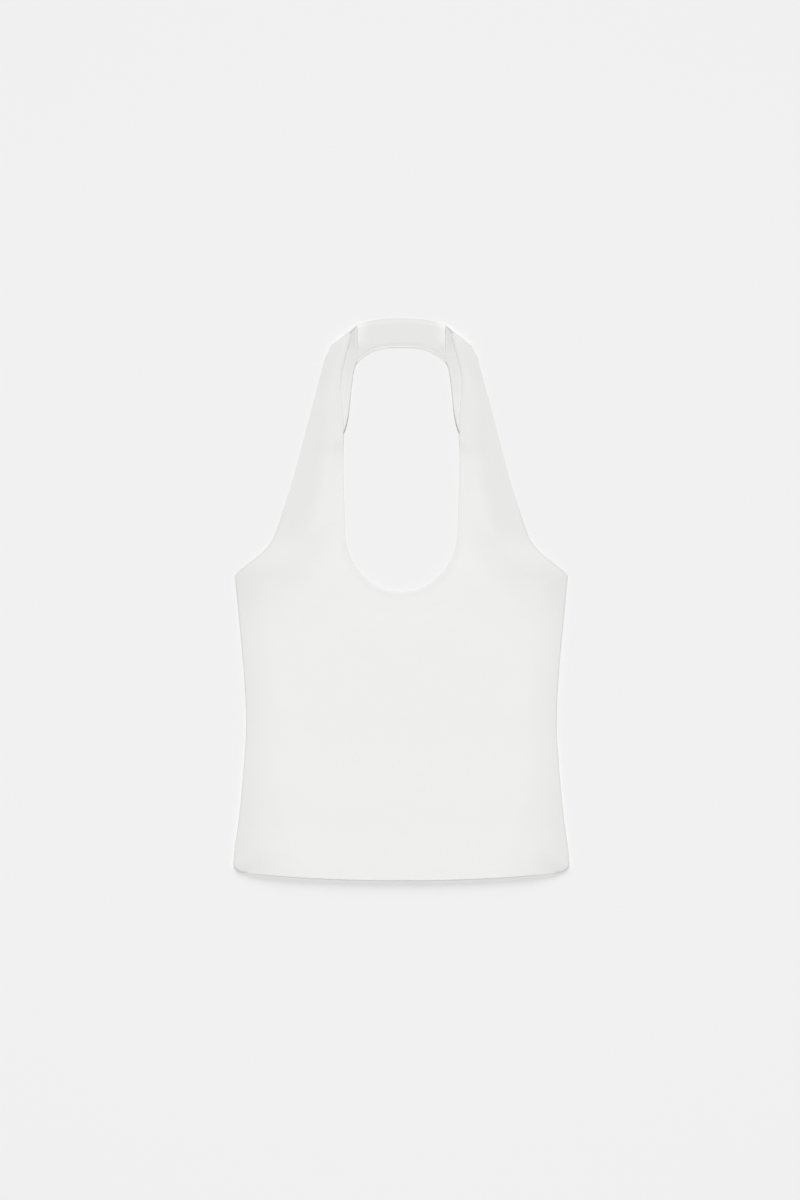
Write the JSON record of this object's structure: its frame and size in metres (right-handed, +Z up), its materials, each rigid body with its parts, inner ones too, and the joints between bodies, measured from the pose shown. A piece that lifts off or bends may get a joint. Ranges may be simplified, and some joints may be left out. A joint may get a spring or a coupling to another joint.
{
  "type": "halter neck top",
  "caption": "Sleeveless halter neck top in off-white stretch jersey, laid flat, with a deep scoop neckline and straps that fold over to a band behind the neck.",
  "frame": {"origin": "on the table, under the middle of the garment's length and width as it lies flat on its back", "axes": "+Z up from the table, +Y from the hem to the neck, +X to the right as the front is looked down on"},
  "size_m": [0.336, 0.5624, 0.0053],
  "materials": {
    "jersey": "fine matt off-white stretch jersey",
    "jersey_inside": "inside of the same jersey, a little warmer and duller"
  },
  "bodies": {
    "root": {"front_panel": "jersey", "back_panel": "jersey", "neck_band": "jersey_inside"}
  },
  "joints": []
}
